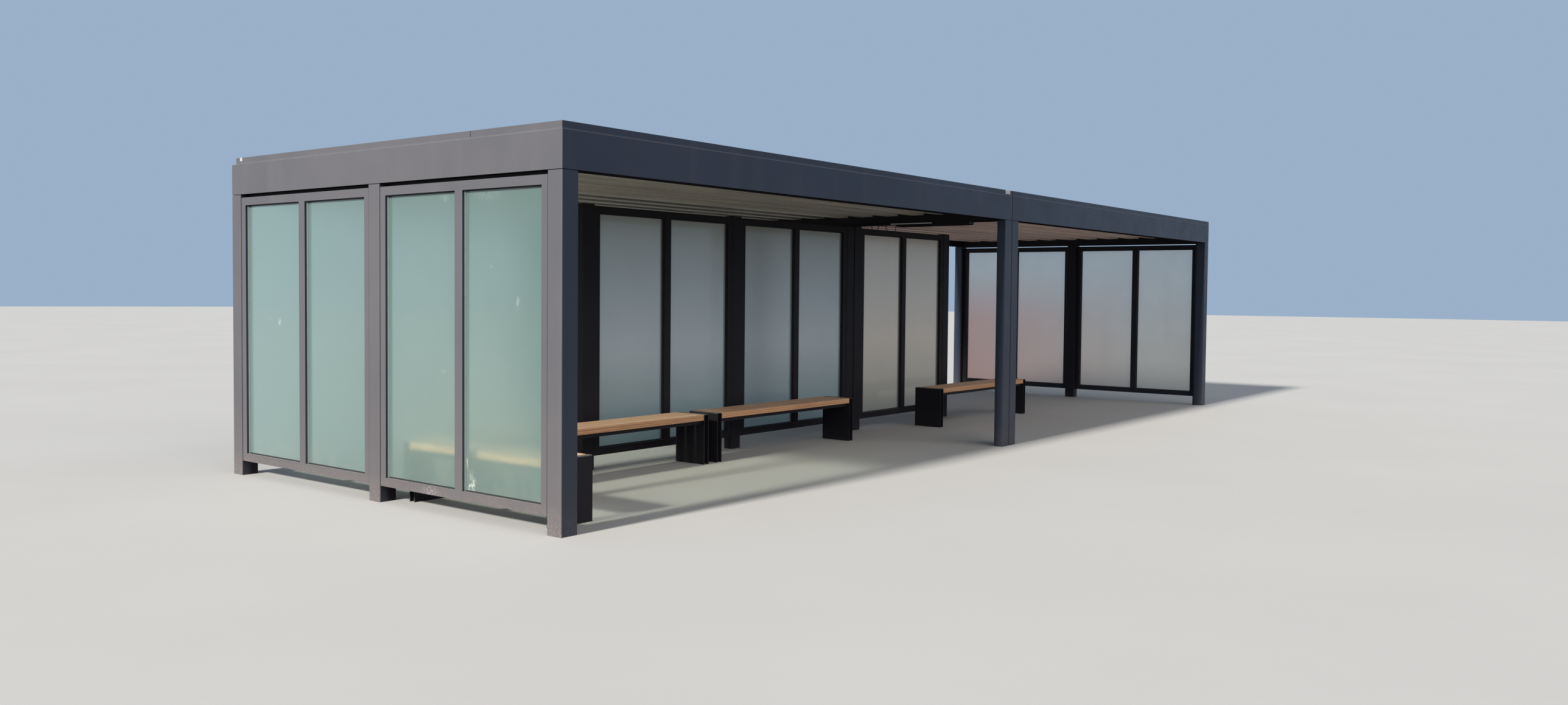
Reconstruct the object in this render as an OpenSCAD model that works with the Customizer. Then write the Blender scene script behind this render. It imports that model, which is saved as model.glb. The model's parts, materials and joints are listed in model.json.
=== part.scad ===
// Long bus shelter: two flat roof modules end to end on square posts, with glazed end walls,
// a glazed wall along the middle line and slatted benches.
// Origin on the ground at the middle of the plan. X runs along the shelter, the front with
// the benches faces -Y, and the end wall with a bench inside is the -X end.

/* [Plan] */
// Clear width between two neighbouring posts, along and across
bay_clear = 1860; // [1620:10:2240]
// Side of the square posts, which is also the width of the edge beams
post_size = 140; // [110:5:170]
// Depth, across the shelter, of the slimmer posts at the module joint and in the middle wall
slim_post_depth = 100; // [85:5:120]
// Radius of the long edges of the posts
post_edge_radius = 8; // [4:1:12]
// Height of the shadow joint between a post and the beam it carries
post_top_joint = 5; // [2:1:10]
// Depth of the shadow joint at the top of a post
post_joint_depth = 10; // [5:1:15]
// Gap between the two modules, which a seal fills
module_gap = 10; // [5:1:20]
// Distance from the outer faces to the seal between the modules
seal_setback = 15; // [5:1:30]
// Height of the seal's lower end above the ground
seal_bottom = 10; // [0:5:40]

/* [Roof] */
// Height from the ground to the top of the roof edge
roof_height = 2670; // [2225:5:3205]
// Height of the edge beams
fascia_height = 305; // [250:5:370]
// Radius of the roof's outer corners, seen from above
roof_corner_radius = 5; // [2:1:12]
// Height of the top edging above its joint line
edging_height = 50; // [30:5:80]
// How far the face of the top edging stands back behind its drip edge
edging_setback = 3; // [1:1:6]
// Height of the sloping drip edge at the foot of the top edging
drip_height = 6; // [3:1:12]
// Height of the joint line under the top edging
joint_height = 4; // [2:1:8]
// Depth of the joint line
joint_depth = 6; // [3:1:12]
// Size of the rear left corner where the top edging is missing
bare_corner = 70; // [40:5:120]
// Height of the ceiling sheet's underside above the edge beams' underside
ceiling_rise = 75; // [50:5:120]
// Depth of the roof tray below the top of the roof edge
tray_depth = 60; // [40:5:100]

/* [Ceiling sheet] */
// Distance from one rib to the next
rib_pitch = 333; // [200:1:400]
// Width of the flat underside of a rib
rib_width = 150; // [80:5:180]
// Width that a rib's sloping side covers
rib_slope = 18; // [10:1:30]
// Depth of the ribs
rib_depth = 45; // [30:1:60]
// Thickness of the sheet
sheet_thickness = 2; // [1:0.5:4]

/* [Glazed panels] */
// Height of a panel frame's lower edge above the ground
panel_bottom = 123; // [80:1:200]
// Gap between the top of a panel frame and the edge beam above it
panel_top_gap = 28; // [15:1:50]
// Thickness of a panel frame, across the wall
panel_depth = 70; // [50:5:100]
// Visible width of a panel frame's outer bars
panel_bar = 65; // [45:1:90]
// Visible width of a panel frame's middle bar
middle_bar = 85; // [60:1:110]
// Thickness of the glass
glass_thickness = 8; // [6:1:16]
// How far the glass reaches into the groove of its frame
glass_grip = 14; // [8:1:20]
// Distance from the outer face of an end post to the face of the frame beside it
end_panel_setback = 8; // [0:1:30]
// Distance from the front face of a wall post to the face of the frame beside it
wall_panel_setback = 5; // [0:1:12]
// Height of the single wall posts above the top of the panels beside them
wall_post_rise = 13; // [5:1:25]

/* [Benches] */
// Height of a seat above the ground
seat_height = 460; // [400:5:520]
// Number of boards in a seat
board_count = 3; // [2:1:4]
// Width of a seat board
board_width = 112; // [90:1:150]
// Gap between two seat boards
board_gap = 9; // [5:1:15]
// Thickness of a seat board
board_thickness = 54; // [40:1:65]
// Radius of the long edges of a seat board
board_edge_radius = 5; // [2:1:10]
// Gap between the end of a board and the leg plate beside it
board_end_gap = 3; // [1:1:6]
// Thickness of a leg's bent steel plate
leg_plate = 8; // [5:1:12]
// Outer radius of a leg's bends
leg_bend = 12; // [9:1:20]
// Distance between the outer faces of a leg's two sides
leg_width = 62; // [48:1:90]
// Height of the steel rails under the boards
rail_height = 34; // [20:1:50]
// Width of the steel rails under the boards
rail_width = 40; // [30:1:60]
// Length of a bench along the middle wall
bench_length = 2200; // [1830:10:2640]
// Gap between the two benches in the first module
bench_spacing = 120; // [60:10:300]
// How far those two benches stand off the module's middle, towards +X
bench_shift = 60; // [0:10:150]
// Distance from the wall posts to the benches in the first module
first_bench_gap = 170; // [80:5:300]
// Distance from the wall posts to the bench in the second module
second_bench_gap = 250; // [80:5:300]
// Distance from the second module's end to its bench
second_bench_start = 950; // [700:10:1400]
// Gap between the ends of the end wall bench and the posts beyond them
end_bench_margin = 130; // [60:5:200]
// Distance from the end wall posts to the back of the end wall bench
end_bench_gap = 25; // [15:5:100]

/* [Lamps] */
// Length of a lamp housing
lamp_length = 920; // [750:10:1200]
// Width of a lamp housing
lamp_width = 100; // [70:5:130]
// Height of a lamp housing
lamp_height = 42; // [30:1:60]
// Radius of the lower corners at the ends of a lamp housing
lamp_end_radius = 24; // [10:1:28]
// Distance from the front beam to the lamp housing
lamp_offset = 300; // [150:10:500]
// Height of the cable duct between a lamp housing and the middle wall's posts
duct_height = 20; // [12:1:28]
// Length of a lamp's light strip
strip_length = 530; // [300:10:800]
// Distance from the front end of a lamp housing to its light strip
strip_offset = 460; // [200:10:600]
// Height of a lamp's light strip
strip_height = 8; // [5:1:12]
// How far a light strip stands out of its housing
strip_stand = 4; // [2:1:8]
// Distance from the top of a lamp housing to its light strip
strip_drop = 6; // [3:1:12]
// Diameter of the lamp cable
cable_diameter = 8; // [5:1:10]
// Distance from the side of the cable duct to the middle of the cable
cable_inset = 15; // [10:1:30]
// Diameter of the glands that the cable comes out of
gland_diameter = 15; // [11:1:20]
// Height of the glands
gland_height = 8; // [5:1:12]

/* [Hidden] */
$fn = 48;
overcut = 1;
steel = [0.20, 0.22, 0.26];
dark_steel = [0.17, 0.18, 0.21];
frosted_glass = [0.62, 0.70, 0.66, 0.8];
seal_rubber = [0.05, 0.05, 0.05];
ceiling_paint = [0.62, 0.60, 0.55];
tray_cover = [0.42, 0.40, 0.35];
wood = [0.67, 0.51, 0.37];
lamp_light = [0.92, 0.91, 0.86];

grid = bay_clear + post_size;
module_length = 3 * grid + post_size;
length = 2 * module_length + module_gap;
depth = 2 * grid + post_size;
left = -length / 2;
right = length / 2 - post_size;
front = -depth / 2;
middle = -post_size / 2;
rear = depth / 2 - post_size;
slim_rear = depth / 2 - slim_post_depth;
second_left = left + module_length + module_gap;
first_right = left + module_length - post_size;

beam_bottom = roof_height - fascia_height;
inner_width = depth - 2 * post_size;
inner_length = module_length - 2 * post_size;
ceiling_bottom = beam_bottom + ceiling_rise;
tray_bottom = ceiling_bottom + rib_depth + sheet_thickness;
tray_top = roof_height - tray_depth;

rib_count = floor(inner_width / rib_pitch);
edge_flat = (inner_width - rib_count * rib_pitch + rib_pitch - rib_width) / 2 - rib_slope;
bend_shift = sheet_thickness * tan(atan(rib_depth / rib_slope) / 2);

panel_top = beam_bottom - panel_top_gap;
panel_height = panel_top - panel_bottom;
pane_width = (bay_clear - 2 * panel_bar - middle_bar) / 2;
pane_height = panel_height - 2 * panel_bar;

seat_depth = board_count * board_width + (board_count - 1) * board_gap;
board_bottom = seat_height - board_thickness;
rail_bottom = board_bottom - rail_height;
first_bench_y = middle - first_bench_gap - seat_depth;
second_bench_y = middle - second_bench_gap - seat_depth;
first_pair_middle = left + module_length / 2 + bench_shift;
end_bench_length = bay_clear - 2 * end_bench_margin;

lamp_x = first_right + (post_size - lamp_width) / 2;
lamp_front = front + post_size + lamp_offset;
lamp_rear = lamp_front + lamp_length;
duct_bottom = beam_bottom - duct_height;
cable_x = lamp_x + cable_inset;

// The cable's way from the rear end of the front lamp housing and below its duct: out of one
// gland, through two hanging loops with a clipped stretch between them, and into the other
cable_route = [
  [330, -gland_height], [330, -25], [326, -43], [315, -57], [299, -64], [281, -64],
  [265, -57], [254, -43], [247, -27], [236, -14], [220, -7], [202, -5], [180, -5],
  [162, -7], [148, -16], [140, -31], [133, -47], [120, -64], [98, -76], [70, -82],
  [42, -80], [21, -68], [12, -49], [10, -29], [10, -gland_height]
];
cable_sides = 8;

// Shared shapes

module rounded_rectangle(size, r) {
  translate([r, 0]) square([size.x - 2 * r, size.y]);
  translate([0, r]) square([size.x, size.y - 2 * r]);
  for (x = [r, size.x - r], y = [r, size.y - r]) {
    translate([x, y]) circle(r);
  }
}

module along_x(run) {
  rotate([90, 0, 90]) linear_extrude(run) children();
}

// Posts

module post_shaft(across, height) {
  color(steel) linear_extrude(height) rounded_rectangle([post_size, across], post_edge_radius);
}

// A post under a beam: its inner core reaches the beam and leaves a shadow joint around itself
module post(x, y, across) {
  translate([x, y, 0]) {
    post_shaft(across, beam_bottom - post_top_joint);
    color(steel)
      translate([post_joint_depth, post_joint_depth, 0])
        cube([post_size - 2 * post_joint_depth, across - 2 * post_joint_depth, beam_bottom]);
  }
}

module centre_pair(y) {
  for (x = [first_right, second_left]) {
    post(x, y, slim_post_depth);
  }
}

module wall_posts() {
  for (x = [left + grid, left + 2 * grid, second_left + grid]) {
    translate([x, middle, 0]) post_shaft(slim_post_depth, panel_top + wall_post_rise);
  }
}

// Glazed panels: the frame lies in the XZ plane with its outer face at y = 0

module each_pane() {
  for (side = [0, 1]) {
    translate([panel_bar + side * (pane_width + middle_bar), 0, panel_bar]) children();
  }
}

module pane() {
  translate([-glass_grip, (panel_depth - glass_thickness) / 2, -glass_grip])
    cube([pane_width + 2 * glass_grip, glass_thickness, pane_height + 2 * glass_grip]);
}

module panel_frame() {
  color(dark_steel)
    difference() {
      cube([bay_clear, panel_depth, panel_height]);
      each_pane() {
        translate([0, -overcut, 0]) cube([pane_width, panel_depth + 2 * overcut, pane_height]);
        pane();
      }
    }
}

module panel_glass() {
  color(frosted_glass) each_pane() pane();
}

module in_wall(x) {
  translate([x + post_size, middle + wall_panel_setback, panel_bottom]) children();
}

module in_left_end(y) {
  translate([left + end_panel_setback, y + post_size + bay_clear, panel_bottom])
    rotate([0, 0, -90]) children();
}

module in_right_end(y) {
  translate([-left - end_panel_setback, y + post_size, panel_bottom])
    rotate([0, 0, 90]) children();
}

// Roof frame

// What is cut away in front of the top edging, its drip edge and the joint line below
module edging_cut(run) {
  translate([-overcut, 0, roof_height - edging_height])
    along_x(run + 2 * overcut)
      polygon([
        [-overcut, -joint_height], [joint_depth, -joint_height], [joint_depth, 0], [0, 0],
        [edging_setback, drip_height], [edging_setback, edging_height + overcut],
        [-overcut, edging_height + overcut]
      ]);
}

// The roof's rear left corner, without its top edging
module without_rear_left_corner() {
  difference() {
    children();
    translate([left - overcut, -front - bare_corner, roof_height - edging_height - joint_height])
      cube([bare_corner + overcut, bare_corner + overcut, edging_height + joint_height + overcut]);
  }
}

// An edge beam from its outline on the plan, outer face at y = 0, with the roof's corner
// rounded at one end or at both
module edge_beam(outline, run) {
  color(steel)
    difference() {
      translate([0, 0, beam_bottom])
        linear_extrude(fascia_height)
          intersection() {
            polygon(outline);
            rounded_rectangle([run, depth], roof_corner_radius);
          }
      edging_cut(run);
    }
}

// One edge beam of a long side, from a mitred corner at x = 0 to the module joint
module side_beam() {
  edge_beam([[0, 0], [module_length, 0], [module_length, post_size], [post_size, post_size]], length);
}

// One edge beam of an end, mitred at both corners
module end_beam() {
  edge_beam([[0, 0], [depth, 0], [depth - post_size, post_size], [post_size, post_size]], depth);
}

module cross_beams() {
  color(steel)
    for (x = [first_right, second_left]) {
      translate([x, -inner_width / 2, beam_bottom]) cube([post_size, inner_width, fascia_height]);
    }
}

// The seal between the modules fills the gap between their beams and between the posts of
// each centre pair
module module_seal() {
  color(seal_rubber)
    translate([left + module_length, 0, 0])
      along_x(module_gap)
        union() {
          translate([front + seal_setback, beam_bottom])
            square([depth - 2 * seal_setback, fascia_height - seal_setback]);
          for (y = [front, middle, slim_rear]) {
            translate([y + seal_setback, seal_bottom])
              square([slim_post_depth - 2 * seal_setback, beam_bottom - seal_bottom]);
          }
        }
}

// Ribbed ceiling sheet, with one thickness on its flats and slopes. The bends of its upper
// side lie beside those of its underside by bend_shift.

function rib_line(start, level, shift) = [
  [start + shift, level + rib_depth],
  [start + rib_slope + shift, level],
  [start + rib_slope + rib_width - shift, level],
  [start + 2 * rib_slope + rib_width - shift, level + rib_depth]
];

function sheet_line(level, shift) = [
  [0, level + rib_depth],
  for (i = [0 : rib_count - 1]) each rib_line(edge_flat + i * rib_pitch, level, shift),
  [inner_width, level + rib_depth]
];

function reversed(list) = [for (i = [len(list) - 1 : -1 : 0]) list[i]];

module ceiling(module_left) {
  color(ceiling_paint)
    translate([module_left + post_size, -inner_width / 2, ceiling_bottom])
      along_x(inner_length)
        polygon(concat(sheet_line(0, 0), reversed(sheet_line(sheet_thickness, bend_shift))));
}

module tray(module_left) {
  color(tray_cover)
    translate([module_left + post_size, -inner_width / 2, tray_bottom])
      cube([inner_length, inner_width, tray_top - tray_bottom]);
}

// Lamps under the first module's cross beam, one in the front half and one in the rear half.
// A cable duct runs on from each lamp to the wall post at duct_end.

module housing(duct_end) {
  translate([lamp_x, lamp_front, beam_bottom - lamp_height])
    along_x(lamp_width)
      intersection() {
        square([lamp_length, lamp_height]);
        rounded_rectangle([lamp_length, 2 * lamp_height], lamp_end_radius);
      }
  translate([lamp_x, lamp_rear - lamp_end_radius, duct_bottom])
    cube([lamp_width, duct_end - lamp_rear + lamp_end_radius, duct_height]);
}

module glands() {
  for (end = [cable_route[0], cable_route[len(cable_route) - 1]]) {
    translate([cable_x, lamp_rear + end.x, duct_bottom + end.y])
      cylinder(h = gland_height + overcut, d = gland_diameter);
  }
}

module lamps() {
  color(dark_steel) {
    housing(middle);
    glands();
    mirror([0, 1, 0]) housing(-middle - slim_post_depth);
  }
}

module strips() {
  for (x = [lamp_x - strip_stand, lamp_x + lamp_width]) {
    translate([x, lamp_front + strip_offset, beam_bottom - strip_drop - strip_height])
      cube([strip_stand, strip_length, strip_height]);
  }
}

module both_halves() {
  children();
  mirror([0, 1, 0]) children();
}

function cable_normal(i) =
  let (
    before = cable_route[max(i - 1, 0)],
    after = cable_route[min(i + 1, len(cable_route) - 1)],
    way = (after - before) / norm(after - before)
  ) [-way.y, way.x];

function cable_ring(i) = [
  for (k = [0 : cable_sides - 1])
    let (
      turn = 360 * k / cable_sides,
      place = cable_route[i] + cable_normal(i) * cable_diameter / 2 * cos(turn)
    ) [cable_diameter / 2 * sin(turn), place.x, place.y]
];

function cable_side(i, k) =
  let (next = (k + 1) % cable_sides, start = i * cable_sides)
  [
    [start + k, start + cable_sides + k, start + next],
    [start + next, start + cable_sides + k, start + cable_sides + next]
  ];

module lamp_cable() {
  last = len(cable_route) - 1;
  color(seal_rubber)
    translate([cable_x, lamp_rear, duct_bottom])
      polyhedron(
        points = [for (i = [0 : last]) each cable_ring(i)],
        faces = [
          [for (k = [0 : cable_sides - 1]) k],
          for (i = [0 : last - 1], k = [0 : cable_sides - 1]) each cable_side(i, k),
          [for (k = [cable_sides - 1 : -1 : 0]) last * cable_sides + k]
        ]
      );
}

// Benches: x = 0 is one end, y = 0 the front edge of the seat

module leg_profile() {
  difference() {
    union() {
      square([leg_width, seat_height - leg_bend]);
      translate([leg_bend, 0]) square([leg_width - 2 * leg_bend, seat_height]);
      for (x = [leg_bend, leg_width - leg_bend]) {
        translate([x, seat_height - leg_bend]) circle(leg_bend);
      }
    }
    translate([leg_plate, -overcut])
      square([leg_width - 2 * leg_plate, seat_height - leg_plate + overcut]);
  }
}

module bench_steel(run) {
  color(dark_steel) {
    for (x = [0, run - leg_width]) {
      translate([x, seat_depth, 0]) rotate([90, 0, 0]) linear_extrude(seat_depth) leg_profile();
    }
    for (i = [0 : board_count - 1]) {
      translate([leg_width, i * (board_width + board_gap) + (board_width - rail_width) / 2, rail_bottom])
        cube([run - 2 * leg_width, rail_width, rail_height]);
    }
  }
}

module bench_boards(run) {
  color(wood)
    for (i = [0 : board_count - 1]) {
      translate([leg_width + board_end_gap, i * (board_width + board_gap), board_bottom])
        along_x(run - 2 * (leg_width + board_end_gap))
          rounded_rectangle([board_width, board_thickness], board_edge_radius);
    }
}

module at_end_bench() {
  translate([left + post_size + end_bench_gap, middle - end_bench_margin, 0])
    rotate([0, 0, -90]) children();
}

module at_bench_1() {
  translate([first_pair_middle - bench_spacing / 2 - bench_length, first_bench_y, 0]) children();
}

module at_bench_2() {
  translate([first_pair_middle + bench_spacing / 2, first_bench_y, 0]) children();
}

module at_bench_3() {
  translate([second_left + second_bench_start, second_bench_y, 0]) children();
}

// Nodes

post(left, front, post_size);  // left_front_post
post(left, middle, post_size);  // left_middle_post
post(left, rear, post_size);  // left_rear_post
post(right, front, post_size);  // right_front_post
post(right, middle, post_size);  // right_middle_post
post(right, rear, post_size);  // right_rear_post
centre_pair(front);  // front_centre_posts
centre_pair(slim_rear);  // rear_centre_posts
centre_pair(middle);  // wall_centre_posts
wall_posts();

in_left_end(front) panel_frame();  // left_front_frame
in_left_end(middle) panel_frame();  // left_rear_frame
in_right_end(front) panel_frame();  // right_front_frame
in_right_end(middle) panel_frame();  // right_rear_frame
in_wall(left + grid) panel_frame();  // wall_frame_1
in_wall(left + 2 * grid) panel_frame();  // wall_frame_2
in_wall(second_left) panel_frame();  // wall_frame_3

for (y = [front, middle]) in_left_end(y) panel_glass();  // left_glass
for (y = [front, middle]) in_right_end(y) panel_glass();  // right_glass
in_wall(left + grid) panel_glass();  // wall_glass_1
in_wall(left + 2 * grid) panel_glass();  // wall_glass_2
in_wall(second_left) panel_glass();  // wall_glass_3

translate([left, front, 0]) side_beam();  // front_left_beam
mirror([1, 0, 0]) translate([left, front, 0]) side_beam();  // front_right_beam
without_rear_left_corner() mirror([0, 1, 0]) translate([left, front, 0]) side_beam();  // rear_left_beam
rotate([0, 0, 180]) translate([left, front, 0]) side_beam();  // rear_right_beam
without_rear_left_corner() translate([left, -front, 0]) rotate([0, 0, -90]) end_beam();  // left_beam
translate([-left, front, 0]) rotate([0, 0, 90]) end_beam();  // right_beam
cross_beams();
module_seal();

ceiling(left);  // left_ceiling
ceiling(second_left);  // right_ceiling
tray(left);  // left_tray
tray(second_left);  // right_tray
lamps();  // lamp_housings
lamp_cable();
color(lamp_light) both_halves() strips();  // lamp_strips

at_end_bench() bench_steel(end_bench_length);  // end_bench_steel
at_end_bench() bench_boards(end_bench_length);  // end_bench_boards
at_bench_1() bench_steel(bench_length);  // bench_1_steel
at_bench_1() bench_boards(bench_length);  // bench_1_boards
at_bench_2() bench_steel(bench_length);  // bench_2_steel
at_bench_2() bench_boards(bench_length);  // bench_2_boards
at_bench_3() bench_steel(bench_length);  // bench_3_steel
at_bench_3() bench_boards(bench_length);  // bench_3_boards
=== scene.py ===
"""Looks of a long bus shelter of dark painted steel, frosted glass and timber benches.

Lengths are in metres of the shared frame: the origin is on the ground at the middle of the plan, +X
runs along the shelter towards the end without a bench, and the open front faces -Y.
"""

import json
import math
from typing import NamedTuple

import bmesh
import bpy
from mathutils import Matrix, Vector, noise


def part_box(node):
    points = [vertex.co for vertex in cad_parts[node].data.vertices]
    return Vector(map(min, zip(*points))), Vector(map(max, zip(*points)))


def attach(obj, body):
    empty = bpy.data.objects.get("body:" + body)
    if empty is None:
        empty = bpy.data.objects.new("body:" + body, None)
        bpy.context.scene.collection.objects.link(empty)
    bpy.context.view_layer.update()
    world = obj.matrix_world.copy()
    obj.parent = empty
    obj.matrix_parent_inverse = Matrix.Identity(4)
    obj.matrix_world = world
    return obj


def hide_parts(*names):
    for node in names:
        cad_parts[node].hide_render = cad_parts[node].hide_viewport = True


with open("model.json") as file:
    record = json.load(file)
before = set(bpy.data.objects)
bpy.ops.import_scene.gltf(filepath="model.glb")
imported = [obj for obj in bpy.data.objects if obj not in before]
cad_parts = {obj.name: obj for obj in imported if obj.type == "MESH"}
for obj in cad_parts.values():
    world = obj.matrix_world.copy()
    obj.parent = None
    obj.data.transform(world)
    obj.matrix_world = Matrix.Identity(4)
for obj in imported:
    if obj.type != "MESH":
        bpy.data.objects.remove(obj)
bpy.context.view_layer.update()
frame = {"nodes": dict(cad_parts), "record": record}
nodes = frame["nodes"]

SLOT_NODES = {}
for subpart in frame["record"]["subparts"]:
    SLOT_NODES.setdefault(subpart["material_slot"], []).append(subpart["node"])
FRAMES = [name for name in SLOT_NODES["frame"] if "frame" in name]
END_FRAMES = [name for name in FRAMES if name.endswith("frame")]

UP, DOWN = Vector((0, 0, 1)), Vector((0, 0, -1))
BEAM_BOTTOM = 2.365
SUNK = 0.001  # how far a small piece reaches into what carries it


# Camera, at the photograph's viewing angle

CAMERA_PLACE = (-11.2491, -7.8724, 1.5968)
CAMERA_FORWARD = Vector((0.79511, 0.60544, -0.03528))
CAMERA_RIGHT = Vector((0.60606, -0.79536, 0.00991))
CAMERA_LENS = 27.3075
CAMERA_SHIFT = (-0.01073, -0.01206)


def add_camera():
    data = bpy.data.cameras.new("camera")
    data.sensor_width = 36
    data.lens = CAMERA_LENS
    data.shift_x, data.shift_y = CAMERA_SHIFT
    data.clip_end = 300
    camera = bpy.data.objects.new("camera", data)
    forward = CAMERA_FORWARD.normalized()
    right = (CAMERA_RIGHT - CAMERA_RIGHT.dot(forward) * forward).normalized()
    up = right.cross(forward)
    turn = Matrix((right, up, -forward)).transposed().to_4x4()
    camera.matrix_world = Matrix.Translation(CAMERA_PLACE) @ turn
    bpy.context.scene.collection.objects.link(camera)
    bpy.context.scene.camera = camera


# Mesh pieces

CORNER_STEPS = 5  # faces in a rounded corner
END_EASING = ((0, 0.9), (0.35, 0.3), (1, 0))  # place and inset of an eased end, in eases


def box(node):
    """A node's lowest and highest corners."""
    low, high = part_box(node)
    return Vector(low), Vector(high)


def proud_of(face, side, height, sunk=SUNK):
    """The span from a little inside a face to height outside it."""
    return sorted((face - side * sunk, face + side * height))


def around(middle, half):
    """The span that reaches half to either side of a middle."""
    return middle - half, middle + half


def add_piece(name, data, *materials, slot, replaced=None):
    """Links a piece that rides on the object's one body."""
    piece = bpy.data.objects.new(name, data)
    bpy.context.scene.collection.objects.link(piece)
    for material in materials:
        data.materials.append(material)
    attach(piece, "root")
    if replaced:
        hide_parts(replaced)
    return piece


def add_mesh(name, work, *materials, slot, replaced=None, smooth_angle=40):
    """Makes a piece of a bmesh, smooth but for edges sharper than smooth_angle."""
    bmesh.ops.recalc_face_normals(work, faces=work.faces)
    mesh = bpy.data.meshes.new(name)
    work.to_mesh(mesh)
    work.free()
    mesh.shade_smooth()
    mesh.set_sharp_from_angle(angle=math.radians(smooth_angle))
    piece = add_piece(name, mesh, *materials, slot=slot, replaced=replaced)
    piece.modifiers.new("normals", "WEIGHTED_NORMAL").keep_sharp = True
    return piece


def loft(work, rings):
    """A closed body through rings that have the same number of points."""
    made = [[work.verts.new(point) for point in ring] for ring in rings]
    for lower, upper in zip(made, made[1:]):
        for i, point in enumerate(lower):
            j = (i + 1) % len(lower)
            work.faces.new((point, lower[j], upper[j], upper[i]))
    work.faces.new(made[0][::-1])
    work.faces.new(made[-1])
    return [point for ring in made for point in ring]


def turned(work, place, axis, profile, sides):
    """A body of revolution from (radius, height) pairs along axis, with that many sides."""
    turn = UP.rotation_difference(Vector(axis)).to_matrix()
    angles = [math.tau * i / sides for i in range(sides)]
    rings = []
    for radius, height in profile:
        ring = [Vector((radius * math.cos(a), radius * math.sin(a), height)) for a in angles]
        rings.append([Vector(place) + turn @ point for point in ring])
    loft(work, rings)


def rounded_outline(width, height, radius, inset):
    """The outline of a rectangle with rounded corners, as (u, v) pairs from its lower corner."""
    right, top = width - radius, height - radius
    centres = ((right, top), (radius, top), (radius, radius), (right, radius))
    points = []
    for quarter, (u, v) in enumerate(centres):
        for i in range(CORNER_STEPS + 1):
            angle = math.radians(90 * quarter + 90 * i / CORNER_STEPS)
            points.append((u + (radius - inset) * math.cos(angle),
                           v + (radius - inset) * math.sin(angle)))
    return points


def eased_box(work, low, high, ease, axis=0):
    """A box with rounded long edges and eased ends, its length along axis.

    Its two corners low and high can be given as *zip(x, y, z), of its span in each direction.
    """
    low, high = Vector(low), Vector(high)
    across, up = [i for i in range(3) if i != axis]
    length = high[axis] - low[axis]
    near_end = [(ease * place, ease * inset) for place, inset in END_EASING]
    far_end = [(length - place, inset) for place, inset in reversed(near_end)]
    rings = []
    for place, inset in near_end + far_end:
        ring = []
        for u, v in rounded_outline(high[across] - low[across], high[up] - low[up], ease, inset):
            point = low.copy()
            point[axis] += place
            point[across] += u
            point[up] += v
            ring.append(point)
        rings.append(ring)
    return loft(work, rings)


# Materials

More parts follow.
